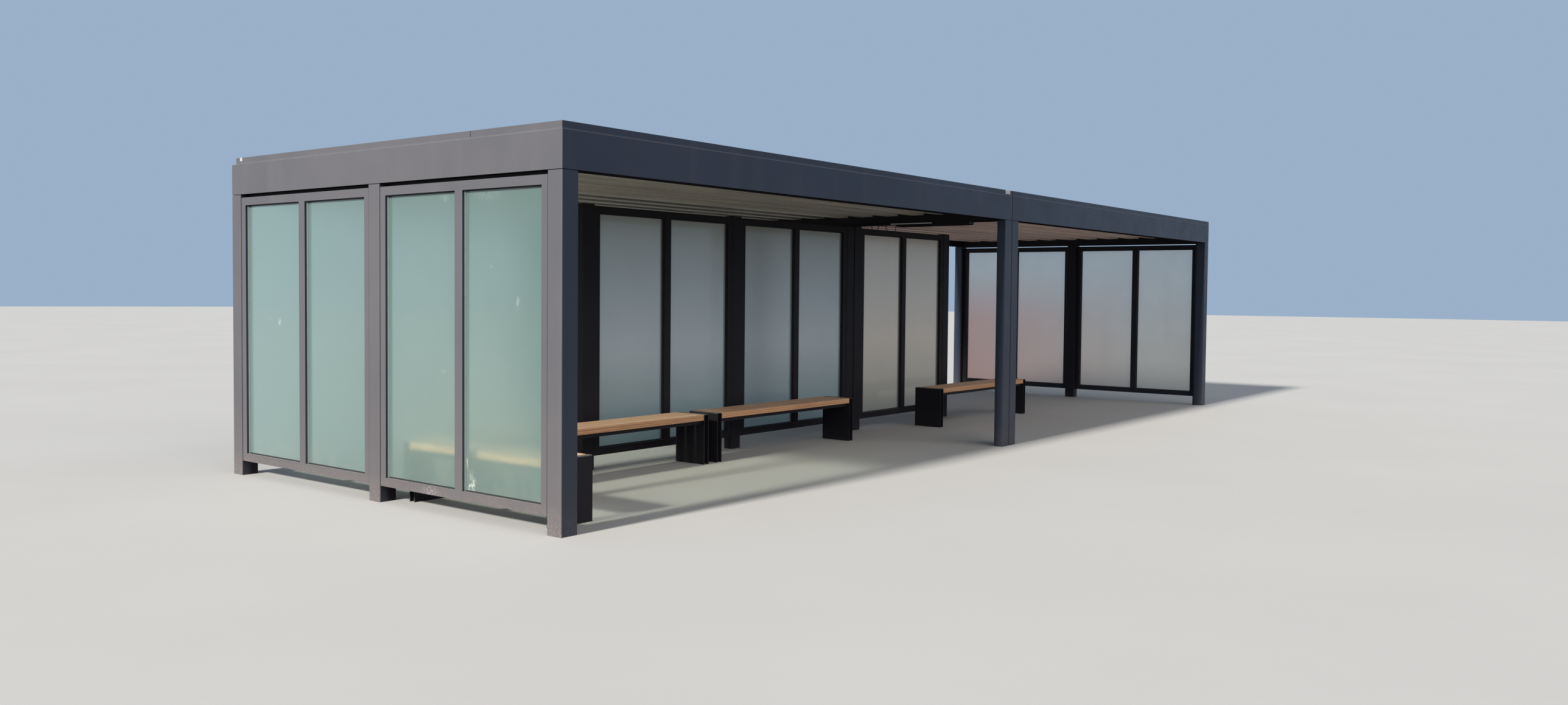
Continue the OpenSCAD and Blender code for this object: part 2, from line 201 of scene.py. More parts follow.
class Surface:
    """A material around one Principled shader, with textures in metres of the shared frame."""

    def __init__(self, name, roughness=0.5, metallic=0.0, specular=0.5):
        self.material = bpy.data.materials.new(name)
        self.material.use_nodes = True
        self.tree = self.material.node_tree
        self.shader = self.tree.nodes["Principled BSDF"]
        self.shader.inputs["Roughness"].default_value = roughness
        self.shader.inputs["Metallic"].default_value = metallic
        self.shader.inputs["Specular IOR Level"].default_value = specular
        self.place = self.tree.nodes.new("ShaderNodeTexCoord").outputs["Object"]

    def node(self, kind, **settings):
        made = self.tree.nodes.new(kind)
        for key, value in settings.items():
            setattr(made, key, value)
        return made

    def link(self, source, target):
        self.tree.links.new(source, target)

    def put(self, socket, value):
        """Links a source to the socket, or sets a constant on it."""
        if isinstance(value, (int, float)):
            socket.default_value = value
        elif isinstance(value, tuple):
            missing = len(socket.default_value) - len(value)
            socket.default_value = value + (1,) * missing
        else:
            self.link(value, socket)

    def attribute(self, name, output="Vector"):
        return self.node("ShaderNodeAttribute", attribute_name=name).outputs[output]

    def stretched(self, scale, place=None, offset=(0, 0, 0)):
        mapping = self.node("ShaderNodeMapping")
        mapping.inputs["Scale"].default_value = scale
        mapping.inputs["Location"].default_value = offset
        self.link(place or self.place, mapping.inputs["Vector"])
        return mapping.outputs["Vector"]

    def noise(self, scale, detail, roughness=0.55, stretch=(1, 1, 1), distortion=0.0, place=None):
        made = self.node("ShaderNodeTexNoise")
        made.inputs["Scale"].default_value = scale
        made.inputs["Detail"].default_value = detail
        made.inputs["Roughness"].default_value = roughness
        made.inputs["Distortion"].default_value = distortion
        self.link(self.stretched(stretch, place), made.inputs["Vector"])
        return made.outputs["Fac"]

    def cells(self, scale):
        made = self.node("ShaderNodeTexVoronoi", feature="F1")
        made.inputs["Scale"].default_value = scale
        made.inputs["Randomness"].default_value = 1
        self.link(self.place, made.inputs["Vector"])
        return made.outputs

    def ramp(self, factor, *stops):
        """Colours or greys at places between 0 and 1 of factor."""
        made = self.node("ShaderNodeValToRGB")
        elements = made.color_ramp.elements
        while len(elements) < len(stops):
            elements.new(0.5)
        for element, (place, colour) in zip(elements, stops):
            element.position = place
            element.color = (*(colour if isinstance(colour, tuple) else (colour,) * 3), 1)
        self.link(factor, made.inputs["Fac"])
        return made.outputs["Color"]

    def math(self, operation, a, b=0.0):
        made = self.node("ShaderNodeMath", operation=operation)
        self.put(made.inputs[0], a)
        self.put(made.inputs[1], b)
        return made.outputs[0]

    def times(self, a, b):
        return self.math("MULTIPLY", a, b)

    def plus(self, a, b):
        return self.math("ADD", a, b)

    def minus(self, a, b):
        return self.math("SUBTRACT", a, b)

    def larger(self, a, b):
        return self.math("MAXIMUM", a, b)

    def mixed(self, factor, a, b, blend="MIX"):
        made = self.node("ShaderNodeMix", data_type="RGBA", blend_type=blend)
        for socket, value in zip((made.inputs[0], made.inputs[6], made.inputs[7]), (factor, a, b)):
            self.put(socket, value)
        return made.outputs[2]

    def tinted(self, colour, tint):
        return self.mixed(1.0, colour, tint, "MULTIPLY")

    def part(self, source, axis):
        """One coordinate of a vector: 0, 1 or 2."""
        split = self.node("ShaderNodeSeparateXYZ")
        self.link(source, split.inputs[0])
        return split.outputs[axis]

    def rescaled(self, value, low, high):
        """Value brought from low..high to 0..1, kept between them."""
        made = self.node("ShaderNodeMapRange", clamp=True)
        made.inputs["From Min"].default_value = low
        made.inputs["From Max"].default_value = high
        self.link(value, made.inputs["Value"])
        return made.outputs["Result"]

    def along(self, axis, low, high):
        """0 at one place along an axis of the frame, 1 at the other."""
        return self.rescaled(self.part(self.place, axis), low, high)

    def out_at(self, axis, low, high):
        """The same, by the distance from the middle of the plan."""
        return self.rescaled(self.math("ABSOLUTE", self.part(self.place, axis)), low, high)

    def facing(self, axis, low, high):
        """0 to 1 by the part of the surface's normal along an axis."""
        normal = self.node("ShaderNodeNewGeometry").outputs["Normal"]
        return self.rescaled(self.part(normal, axis), low, high)

    def facing_up(self):
        return self.facing(2, 0.55, 0.9)

    def near(self, centre, reach):
        """1 at centre, falling to 0 at reach, which is given for each axis."""
        scale = tuple(1 / r for r in reach)
        offset = tuple(-c / r for c, r in zip(centre, reach))
        length = self.node("ShaderNodeVectorMath", operation="LENGTH")
        self.link(self.stretched(scale, offset=offset), length.inputs[0])
        return self.rescaled(length.outputs["Value"], 1.0, 0.35)

    def outer_gloss(self, ior):
        """How much a face of glass mirrors, and nothing from inside the glass."""
        fresnel = self.node("ShaderNodeFresnel")
        fresnel.inputs["IOR"].default_value = ior
        behind = self.node("ShaderNodeNewGeometry").outputs["Backfacing"]
        return self.times(fresnel.outputs[0], self.minus(1.0, behind))

    def glossy(self, *roughness):
        """A mirroring shader whose roughness wavers between two stops."""
        made = self.node("ShaderNodeBsdfGlossy")
        self.put(made.inputs["Roughness"], self.ramp(self.noise(6, 5), *roughness))
        return made.outputs[0]

    def see_through(self, colour):
        made = self.node("ShaderNodeBsdfTransparent")
        self.put(made.inputs["Color"], colour)
        return made.outputs[0]

    def blended(self, factor, first, second):
        """Two shaders mixed."""
        made = self.node("ShaderNodeMixShader")
        self.put(made.inputs[0], factor)
        self.link(first, made.inputs[1])
        self.link(second, made.inputs[2])
        return made.outputs[0]

    def show(self, shader):
        self.link(shader, self.tree.nodes["Material Output"].inputs["Surface"])

    def colour(self, source):
        self.put(self.shader.inputs["Base Color"], source)

    def roughness(self, source):
        self.link(source, self.shader.inputs["Roughness"])

    def bump(self, height, distance, strength, eased=0.0):
        """Bump from a height, on edges that look rounded by the radius eased."""
        made = self.node("ShaderNodeBump")
        made.inputs["Distance"].default_value = distance
        made.inputs["Strength"].default_value = strength
        self.link(height, made.inputs["Height"])
        if eased:
            bevel = self.node("ShaderNodeBevel", samples=4)
            bevel.inputs["Radius"].default_value = eased
            self.link(bevel.outputs["Normal"], made.inputs["Normal"])
        self.link(made.outputs["Normal"], self.shader.inputs["Normal"])


RAIN_STREAKS = (0.105, 0.100, 0.096)
PALER_AT_FOOT = (0.096, 0.083, 0.084)
SPLASHES = (0.21, 0.185, 0.155)
PALE_DUST = (0.17, 0.16, 0.145)
BARE_METAL = (0.34, 0.28, 0.30)
SCUFFED = ((-6.137, -0.672, 0.148), (0.05, 0.125, 0.042))  # on the rail of the left front frame


def painted_steel():
    """Satin grey paint, dusty and splashed, with painted shade under the roof and painted sun at
    the left end.
    """
    surface = Surface("satin_grey_paint")
    underside = surface.facing(2, -0.5, -0.8)
    outside = surface.larger(surface.out_at(0, 6.06, 6.10), surface.out_at(1, 1.94, 1.96))
    open_air = surface.times(outside, surface.minus(1.0, underside))
    # Faces turned to -X at the left end, where the key lamp falls, take a pale tone: weathering and
    # painted sunlight.
    sunlit_weather_side = surface.times(surface.facing(0, -0.3, -0.75), surface.along(0, -5.9, -6.06))

    patches = surface.noise(0.9, 5)
    # A dark copy of the paint under the roof and on undersides: painted shade.
    shaded_under_roof = surface.ramp(patches, (0.3, (0.0110, 0.0100, 0.0140)),
                             (0.7, (0.0165, 0.0150, 0.0195)))
    outer = surface.ramp(patches, (0.3, (0.0165, 0.0240, 0.0440)), (0.7, (0.0225, 0.0300, 0.0515)))
    chalky_sunlit = surface.ramp(patches, (0.3, (0.061, 0.061, 0.069)), (0.7, (0.074, 0.071, 0.077)))
    tone = surface.mixed(sunlit_weather_side, surface.mixed(open_air, shaded_under_roof, outer), chalky_sunlit)

    soiled = surface.plus(surface.times(open_air, 0.30), surface.times(sunlit_weather_side, 0.60))
    soiled = surface.plus(soiled, 0.10)
    streaks = surface.ramp(surface.noise(3.2, 6, stretch=(1, 1, 0.06)), (0.52, 0.0), (0.80, 0.30))
    streaks = surface.times(streaks, surface.times(soiled, open_air))
    tone = surface.mixed(streaks, tone, RAIN_STREAKS)
    # Lighter and redder towards the foot.
    low = surface.times(surface.along(2, 0.85, 0.10), 0.45)
    tone = surface.mixed(surface.times(low, soiled), tone, PALER_AT_FOOT)
    specks = surface.ramp(surface.noise(70, 5, roughness=0.7), (0.44, 0.0), (0.66, 0.55))
    splashes = surface.times(surface.along(2, 0.22, 0.0), specks)
    tone = surface.mixed(surface.times(splashes, soiled), tone, SPLASHES)
    dust = surface.ramp(surface.noise(14, 6), (0.25, 0.35), (0.7, 0.9))
    dust = surface.times(surface.facing_up(), dust)
    tone = surface.mixed(dust, tone, PALE_DUST)
    scratches = surface.noise(44, 7, roughness=0.75, stretch=(1, 1, 1.6), distortion=1.2)
    scratches = surface.ramp(scratches, (0.50, 0.0), (0.60, 0.75))
    scuffs = surface.times(surface.near(*SCUFFED), scratches)
    surface.colour(surface.mixed(scuffs, tone, BARE_METAL))

    # The specular level drops under the roof and to nothing on undersides, part of that painted
    # shade.
    mirrored = surface.plus(0.10, surface.times(open_air, 0.25))
    mirrored = surface.times(mirrored, surface.minus(1.0, underside))
    surface.link(mirrored, surface.shader.inputs["Specular IOR Level"])
    gloss = surface.ramp(surface.noise(5, 6), (0.3, 0.34), (0.7, 0.46))
    surface.roughness(surface.mixed(dust, gloss, (0.85, 0.85, 0.85)))
    surface.bump(surface.noise(380, 2), distance=0.0003, strength=0.35, eased=0.0025)
    return surface.material


def clear_glass():
    clear = Surface("clear_glass")
    through = clear.see_through((0.90, 0.95, 0.93))
    gloss = clear.glossy((0.3, 0.02), (0.8, 0.10))
    clear.show(clear.blended(clear.outer_gloss(1.5), through, gloss))
    clear.tree.nodes.remove(clear.shader)
    return clear.material


class Film(NamedTuple):
    """How the frosted face of a pane looks."""
    name: str
    dark: tuple  # what it scatters back, in its darker and lighter patches
    light: tuple
    rear: tuple  # and towards the rear of the shelter
    through: tuple  # the colour of what goes through it
    through_rear: tuple
    tint: tuple  # of the part that keeps its way
    blur: float  # share of the light that goes through and keeps its way
    share: float  # share of all light that is scattered back
    top_darkening: float = 0.0  # how much its top is darker
    low_shade: float = 0.0  # how much its foot is darker: painted reflection and shade of the ground
    rear_top: float = 4.0  # the rear colours end at this height


# Wiping marks and scratches on the end panes: their middle and how far they reach
SMEARS = [
    ((-6.106, -1.045, 0.36), (0.05, 0.035, 0.13)),
    ((-6.106, -1.085, 0.24), (0.05, 0.085, 0.12)),
    ((-6.106, -1.30, 2.235), (0.05, 0.20, 0.05)),
    ((-6.106, -1.038, 2.12), (0.05, 0.022, 0.12)),
    ((-6.106, -0.80, 2.235), (0.05, 0.06, 0.06)),
    ((-6.106, 1.518, 1.331), (0.05, 0.030, 0.020)),
    ((-6.106, 1.390, 1.310), (0.05, 0.034, 0.042)),
    ((-6.106, -1.590, 1.497), (0.05, 0.030, 0.060)),
    ((-6.106, -1.322, 1.747), (0.05, 0.035, 0.012)),
    ((-6.106, -0.790, 1.010), (0.05, 0.042, 0.016)),
]
TOP_TINT = (0.62, 0.56, 0.46)
LOW_SHADE_TINT = (0.46, 0.60, 0.62)
DIRT_ON_GLASS = (0.36, 0.36, 0.31)
WIPED_GLASS = (0.80, 0.86, 0.83)
SUN_THROUGH_FILM = (0.46, 0.47, 0.41)


def film_smears(film):
    """The wiping marks, broken up into wisps and fainter at the top."""
    smears = film.near(*SMEARS[0])
    for mark in SMEARS[1:]:
        smears = film.larger(smears, film.near(*mark))
    wisps = film.noise(38, 8, roughness=0.75, stretch=(1, 1, 0.45), distortion=1.2)
    wisps = film.ramp(wisps, (0.47, 0.0), (0.66, 1.0))
    fresh = film.plus(0.35, film.times(film.along(2, 2.1, 0.9), 0.65))
    return film.times(film.times(smears, wisps), fresh)


def frosted_film(look):
    """The frosted face of a pane, cloudy and dirty, with gloss on its outer side.

    Lamps shine through it in a plain way, so that what stands behind it is lit evenly.
    """
    film = Surface(look.name, roughness=0.6, specular=0.2)
    towards_rear = film.times(film.along(1, -1.2, 2.2),
                              film.along(2, look.rear_top, look.rear_top - 0.8))
    # The top darkens towards a warm brown tint.
    top = film.times(film.along(2, 1.15, 2.25), look.top_darkening)
    # Towards the foot the pane darkens to teal: painted reflection and shadow of the dark ground.
    foot = film.times(film.along(2, 1.0, 0.35), look.low_shade)

    def toned_by_place(colour, rear):
        colour = film.mixed(towards_rear, colour, rear)
        colour = film.mixed(top, colour, film.tinted(colour, TOP_TINT))
        return film.mixed(foot, colour, film.tinted(colour, LOW_SHADE_TINT))

    cloudy = film.ramp(film.noise(0.8, 4), (0.3, look.dark), (0.7, look.light))
    dirt = film.times(film.along(2, 0.45, 0.18),
                      film.ramp(film.noise(9, 7), (0.35, 0.0), (0.75, 0.5)))
    smears = film_smears(film)
    tone = film.mixed(dirt, toned_by_place(cloudy, look.rear), DIRT_ON_GLASS)
    film.colour(film.mixed(smears, tone, WIPED_GLASS))

    thin = film.ramp(film.noise(2.4, 5), (0.3, 0.0), (0.7, 1.0))
    passed = film.mixed(thin, tuple(0.93 * c for c in look.through), look.through)
    passed = toned_by_place(passed, look.through_rear)
    scattered = film.node("ShaderNodeBsdfTranslucent")
    film.put(scattered.inputs["Color"], passed)
    blurred = film.node("ShaderNodeBsdfRefraction")
    film.put(blurred.inputs["Color"], film.tinted(passed, look.tint))
    blurred.inputs["IOR"].default_value = 1.25
    blurred.inputs["Roughness"].default_value = 0.56

    shown = film.blended(look.blur, scattered.outputs[0], blurred.outputs[0])
    opaque = film.larger(look.share, film.times(smears, 0.9))
    shown = film.blended(opaque, shown, film.shader.outputs[0])
    gloss = film.glossy((0.3, 0.04), (0.8, 0.14))
    shown = film.blended(film.outer_gloss(1.45), shown, gloss)
    for_lamps = film.node("ShaderNodeLightPath").outputs["Is Shadow Ray"]
    film.show(film.blended(for_lamps, shown, film.see_through(SUN_THROUGH_FILM)))
    return film.material


def timber():
    """Oiled hardwood in each board's own coordinates: rings, fibres, pores, weather and painted
    light on top.
    """
    surface = Surface("oiled_hardwood", specular=0.4)
    own = surface.attribute("grain")
    tone = surface.attribute("tone", "Fac")
    rings = surface.node("ShaderNodeTexWave", wave_type="RINGS", rings_direction="X",
                         wave_profile="SAW")
    rings.inputs["Scale"].default_value = 17
    rings.inputs["Distortion"].default_value = 3.2
    rings.inputs["Detail"].default_value = 3
    rings.inputs["Detail Scale"].default_value = 2.2
    surface.link(surface.stretched((0.07, 1, 1), own), rings.inputs["Vector"])
    fibres = surface.noise(420, 4, roughness=0.6, stretch=(0.012, 1, 1), place=own)
    bands = surface.noise(26, 4, stretch=(0.05, 1, 1), distortion=0.6, place=own)
    height = surface.plus(surface.times(rings.outputs["Fac"], 0.30), surface.times(fibres, 0.42))
    height = surface.plus(height, surface.times(bands, 0.30))
    colour = surface.ramp(height, (0.30, (0.36, 0.175, 0.080)), (0.48, (0.66, 0.365, 0.190)),
                          (0.70, (0.86, 0.54, 0.315)))
    pores = surface.noise(900, 1, stretch=(0.02, 1, 1), place=own)
    pores = surface.ramp(pores, (0.30, 1.0), (0.38, 0.0))
    colour = surface.mixed(surface.times(pores, 0.55), colour, (0.16, 0.08, 0.04))
    shade = surface.ramp(tone, (0.0, (0.60, 0.57, 0.55)), (1.0, (1.10, 1.07, 1.04)))
    colour = surface.tinted(colour, shade)
    # Upward faces take a flat tan tone from weathering, lifted as painted sky light.
    worn_and_skylit = surface.noise(3, 6, stretch=(0.4, 1, 1), place=own)
    worn_and_skylit = surface.ramp(worn_and_skylit, (0.3, 0.22), (0.75, 0.62))
    worn_and_skylit = surface.times(surface.facing_up(), worn_and_skylit)
    surface.colour(surface.mixed(worn_and_skylit, colour, surface.tinted(shade, (0.60, 0.47, 0.365))))
    surface.roughness(surface.ramp(fibres, (0.3, 0.46), (0.7, 0.66)))
    surface.bump(surface.minus(height, surface.times(pores, 0.3)), distance=0.0009, strength=0.6)
    return surface.material


def ceiling_sheet(name, dark, light):
    """Pale coated sheet with dark streaks along its ribs: a streaky finish and painted shade of the
    rib slopes.
    """
    surface = Surface(name, roughness=0.55, specular=0.35)
    cloudy = surface.ramp(surface.noise(1.6, 6), (0.3, dark), (0.7, light))
    # Dark streaks: partly a streaky finish, partly painted shade of the rib slopes.
    streaks = surface.ramp(surface.noise(24, 6, stretch=(0.022, 1, 1)), (0.40, 0.0), (0.66, 0.75))
    surface.colour(surface.mixed(streaks, cloudy, surface.tinted(cloudy, (0.62, 0.59, 0.56))))
    surface.bump(surface.noise(500, 2), distance=0.0003, strength=0.3, eased=0.003)
    return surface.material


def mineral_cover():
    """Loose mineral roof covering: small stones of several tones, darker in the gaps between them.
    """
    surface = Surface("mineral_covering", roughness=0.95, specular=0.2)
    cells = surface.cells(75)
    stones = surface.ramp(surface.part(cells["Color"], 0), (0.0, (0.16, 0.10, 0.075)),
                          (0.35, (0.28, 0.20, 0.155)), (0.7, (0.36, 0.31, 0.26)),
                          (1.0, (0.50, 0.46, 0.40)))
    patches = surface.ramp(surface.noise(1.4, 7), (0.35, 0.0), (0.7, 0.6))
    tone = surface.mixed(patches, stones, (0.21, 0.17, 0.125))
    # Darker in the gaps between the stones.
    gap = surface.times(surface.rescaled(cells["Distance"], 0.30, 0.75), 0.7)
    surface.colour(surface.mixed(gap, tone, (0.075, 0.06, 0.048)))
    surface.bump(surface.minus(surface.noise(220, 4), cells["Distance"]),
                 distance=0.006, strength=0.9)
    return surface.material


def rubber(name, colour, spread=1.35):
    """Matt rubber, lighter in patches by the factor spread."""
    surface = Surface(name, roughness=0.7, specular=0.3)
    patches = surface.ramp(surface.noise(18, 6), (0.3, 0.0), (0.75, 1.0))
    surface.colour(surface.mixed(patches, colour, tuple(c * spread for c in colour)))
    surface.bump(surface.noise(600, 2), distance=0.0002, strength=0.4)
    return surface.material


def zinc():
    surface = Surface("dull_zinc", metallic=0.55)
    spangle = surface.part(surface.cells(140)["Color"], 1)
    shade = surface.ramp(spangle, (0.0, (0.40, 0.37, 0.38)), (1.0, (0.62, 0.59, 0.60)))
    stain = surface.ramp(surface.noise(60, 6), (0.5, 0.0), (0.75, 0.8))
    surface.colour(surface.mixed(stain, shade, (0.30, 0.21, 0.19)))
    surface.roughness(surface.ramp(surface.noise(90, 4), (0.3, 0.32), (0.7, 0.55)))
    return surface.material


def two_toned(name, scale, detail, dark, light, **settings):
    """A plain finish that wavers between two close tones; dark and light are stops of a ramp."""
    surface = Surface(name, **settings)
    surface.colour(surface.ramp(surface.noise(scale, detail), dark, light))
    return surface.material


def floor_surface():
    """A pale floor that throws less light back than it shows."""
    surface = Surface("floor_surface", roughness=0.95, specular=0.1)
    seen = surface.ramp(surface.noise(0.35, 6), (0.3, (0.315, 0.312, 0.305)),
                        (0.7, (0.330, 0.327, 0.320)))
    direct = surface.node("ShaderNodeLightPath").outputs["Is Camera Ray"]
    surface.colour(surface.mixed(direct, (0.19, 0.185, 0.175), seen))
    return surface.material


# Glazed panels

BAR = 0.065
MIDDLE_BAR = 0.085
GLASS_THICKNESS = 0.008
GLASS_GRIP = 0.014  # how far a pane reaches into its frame
GLASS_EASE = 0.0012
FILM_SIDE = -1  # the frosted faces look towards -X and -Y
SEAL_PROFILE = ((0, 0), (0.0080, 0), (0.0080, 0.0012), (0.0052, 0.0075), (0.0022, 0.0125),
                (0, 0.0130))  # over the glass, and out from it
JOINT_WIDTH = 0.008
JOINT_PROUD = 0.0008
GAP_STRIP_HEIGHT = 0.018
GAP_STRIP_WIDTH = 0.007
GAP_STRIP_INSET = 0.002


class Panel:
    """A glazed panel seen in its own directions: along it, across it and up."""

    def __init__(self, node):
        self.low, self.high = box(node)
        size = self.high - self.low
        self.along, self.across = (0, 1) if size[0] > size[1] else (1, 0)
        self.middle = (self.low[self.across] + self.high[self.across]) / 2
        start, end = self.low[self.along], self.high[self.along]
        width = (end - start - 2 * BAR - MIDDLE_BAR) / 2
        bottom, top = self.low[2] + BAR, self.high[2] - BAR
        self.panes = [(a, a + width, bottom, top) for a in (start + BAR, end - BAR - width)]

    def point(self, along, across, up):
        place = Vector((0, 0, up))
        place[self.along] = along
        place[self.across] = across
        return place


def pane_corners(pane, inset):
    """The corners of a pane moved inwards, or outwards where inset is negative."""
    start, end, bottom, top = pane
    start, end, bottom, top = start + inset, end - inset, bottom + inset, top - inset
    return (start, bottom), (end, bottom), (end, top), (start, top)


def add_pane(work, panel, pane):
    """A slab of glass with eased edges. Its face on the film's side gets the second material."""
    half = GLASS_THICKNESS / 2
    rings = []
    for side, ease in ((-half, GLASS_EASE), (-half + GLASS_EASE, 0),
                       (half - GLASS_EASE, 0), (half, GLASS_EASE)):
        across = panel.middle + side * FILM_SIDE
        corners = pane_corners(pane, ease - GLASS_GRIP)
        rings.append([panel.point(a, across, z) for a, z in corners])
    loft(work, rings)
    work.faces.ensure_lookup_table()
    work.faces[-1].material_index = 1


def add_glass(name, frames, clear, film):
    work = bmesh.new()
    for node in frames:
        panel = Panel(node)
        for pane in panel.panes:
            add_pane(work, panel, pane)
    add_mesh(name + "_panes", work, clear, film, slot="glass", replaced=name)


def add_seals(name, node, side_material, level_material):
    """Mitred glazing seals on both sides of each pane; the level ones get the second material."""
    work = bmesh.new()
    panel = Panel(node)
    for pane in panel.panes:
        for side in (-1, 1):
            rings = [[] for corner in range(4)]
            for reach, height in SEAL_PROFILE:
                across = panel.middle + side * (GLASS_THICKNESS / 2 + height)
                for ring, (a, z) in zip(rings, pane_corners(pane, reach)):
                    ring.append(work.verts.new(panel.point(a, across, z)))
            for i, this in enumerate(rings):
                following = rings[(i + 1) % 4]
                for k in range(len(this)):
                    m = (k + 1) % len(this)
                    face = work.faces.new((this[k], this[m], following[m], following[k]))
                    face.material_index = 1 - i % 2
    add_mesh(name, work, side_material, level_material, slot="seal")


def add_frame_joint_shade(name, frames, material):
    """Dark strips where the first upright bar of each frame meets its post: a joint, darkened as
    painted shade in the crease.
    """
    work = bmesh.new()
    for node in frames:
        panel = Panel(node)
        low, high = panel.low, panel.high
        start = low[panel.along]
        for face, side in ((low[panel.across], -1), (high[panel.across], 1)):
            first, last = proud_of(face, side, JOINT_PROUD)
            eased_box(work, panel.point(start, first, low[2] + SUNK),
                      panel.point(start + JOINT_WIDTH, last, high[2] - SUNK),
                      ease=0.0005, axis=2)
    add_mesh(name, work, material, slot="seal")


def add_gap_shade_strips(name, frames, material):
    """Dark strips that hang from the beams over the end frames, along their inner edges: painted
    shade in the gap.
    """
    work = bmesh.new()
    for node in frames:
        low, high = box(node)
        inner, side = (high[0], 1) if high[0] < 0 else (low[0], -1)
        x = proud_of(inner, side, 0, sunk=GAP_STRIP_WIDTH)
        y = (low[1] + GAP_STRIP_INSET, high[1] - GAP_STRIP_INSET)
        z = (BEAM_BOTTOM - GAP_STRIP_HEIGHT, BEAM_BOTTOM + SUNK)
        eased_box(work, *zip(x, y, z), ease=0.0015, axis=1)
    add_mesh(name, work, material, slot="seal")


# Benches

BOARD_GAP = 0.009
BOARD_EASE = 0.005
BOARDS = 3
TONE_SPREAD = 0.4


def add_boards(name, material, along, painted_light_lift):
    """A bench's boards: rounded edges, eased ends, grain coordinates, a random tone lifted as
    painted light.
    """
    low, high = box(name)
    across = 1 - along
    width = (high[across] - low[across] - (BOARDS - 1) * BOARD_GAP) / BOARDS
    work = bmesh.new()
    grain, tones = [], []
    for i in range(BOARDS):
        start, end = low.copy(), high.copy()
        start[across] = low[across] + i * (width + BOARD_GAP)
        end[across] = start[across] + width
        seed = noise.cell_vector(Vector((i + 0.5, low[0] + 20.5, low[1] + 7.5)))
        heart = Vector((3 * seed[0], 0.05 * (seed[1] - 0.5) - 0.05, 0.10 + 0.22 * seed[2]))
        for point in eased_box(work, start, end, ease=BOARD_EASE, axis=along):
            own = point.co - start
            grain.append(Vector((own[along], own[across], own[2])) + heart)
            tones.append(painted_light_lift + TONE_SPREAD * seed[2])
    piece = add_mesh(name + "_timber", work, material, slot="wood", replaced=name)
    own_grain = piece.data.attributes.new("grain", "FLOAT_VECTOR", "POINT")
    own_grain.data.foreach_set("vector", [c for point in grain for c in point])
    own_tone = piece.data.attributes.new("tone", "FLOAT", "POINT")
    own_tone.data.foreach_set("value", tones)


# Lamps and the cable

CABLE_X = -0.110
CABLE_THICKNESS = 0.008
LAMP_REAR = -0.710
DUCT_BOTTOM = 2.345
# The cable's way in mm: forwards from the lamp's rear end, and up from the duct's underside
CABLE_ROUTE = [
    (330, -8), (330, -25), (326, -43), (315, -57), (299, -64), (281, -64),
    (265, -57), (254, -43), (247, -27), (236, -14), (220, -7), (202, -5), (180, -5),
    (162, -7), (148, -16), (140, -31), (133, -47), (120, -64), (98, -76), (70, -82),
    (42, -80), (21, -68), (12, -49), (10, -29), (10, -8),
]
ROUTE_STEPS = 4
CLIPS_AT = (215, 168)  # mm forwards as well
CLIP_ENDS = (-4, 4)  # mm from a clip's middle
CLIP_LOOP = 0.0048  # inner radius of the loop round the cable
CLIP_SWELL = 1.25  # outer radius over inner
CLIP_DROP = 0.0070  # from the duct to the middle of the loop
CLIP_SHEET = 0.0012
CLIP_FLANGE = [(-0.013, -0.0003), (-0.0062, -0.0003), (-0.0055, -0.0010)]
CLIP_SHOULDER = (-CLIP_LOOP, -0.0060)
CLIP_OUTER_SHOULDER = (-CLIP_LOOP * CLIP_SWELL, -0.0068)
CLIP_RIVET_AT = 0.0098
RIVET_PROFILE = ((0.0026, 0), (0.0026, 0.0008), (0.0015, 0.0014))
NUT_PROFILE = ((0.0105, -0.001), (0.0105, 0.0032), (0.0098, 0.0038), (0.0076, 0.0038))
GLAND_PROFILE = ((0.0080, 0.003), (0.0080, 0.0066), (0.0066, 0.0080), (0.0042, 0.0084))
STRIP_STAND = 0.004
STRIP_LENGTH = 0.53
LAMP_SCREW_PROFILE = ((0.0052, 0), (0.0052, 0.0008), (0.0040, 0.0019), (0.0014, 0.0019))
LAMP_SCREWS_X = (-0.105, -0.045)
LAMP_SCREWS_Y = (-1.58, -1.20, -0.76)


def on_duct(forward, up, x=CABLE_X):
    """A point mm forwards from the lamp's rear end and metres up from the duct's underside."""
    return Vector((x, LAMP_REAR + forward / 1000, DUCT_BOTTOM + up))


def smooth_line(points, steps):
    """Points on a smooth line through the given ones."""
    line = []
    for i in range(len(points) - 1):
        start, end = points[i], points[i + 1]
        before, after = points[max(i - 1, 0)], points[min(i + 2, len(points) - 1)]
        for k in range(steps):
            t = k / steps
            line.append(0.5 * (2 * start + (end - before) * t
                               + (2 * before - 5 * start + 4 * end - after) * t ** 2
                               + (3 * start - before - 3 * end + after) * t ** 3))
    return line + [points[-1]]


def add_cable(material):
    points = [on_duct(forward, up / 1000) for forward, up in CABLE_ROUTE]
    line = smooth_line(points, ROUTE_STEPS)
    curve = bpy.data.curves.new("lamp_cable_line", "CURVE")
    curve.dimensions = "3D"
    curve.bevel_depth = CABLE_THICKNESS / 2
    curve.bevel_resolution = 4
    spline = curve.splines.new("POLY")
    spline.points.add(len(line) - 1)
    for target, point in zip(spline.points, line):
        target.co = (*point, 1)
        target.radius = 1
    cable = add_piece("lamp_cable_line", curve, material, slot="seal", replaced="lamp_cable")


def both_sides(left, loop):
    """A line from the flange on the left through the loop to the flange on the right."""
    return left + loop + [(-u, v) for u, v in reversed(left)]


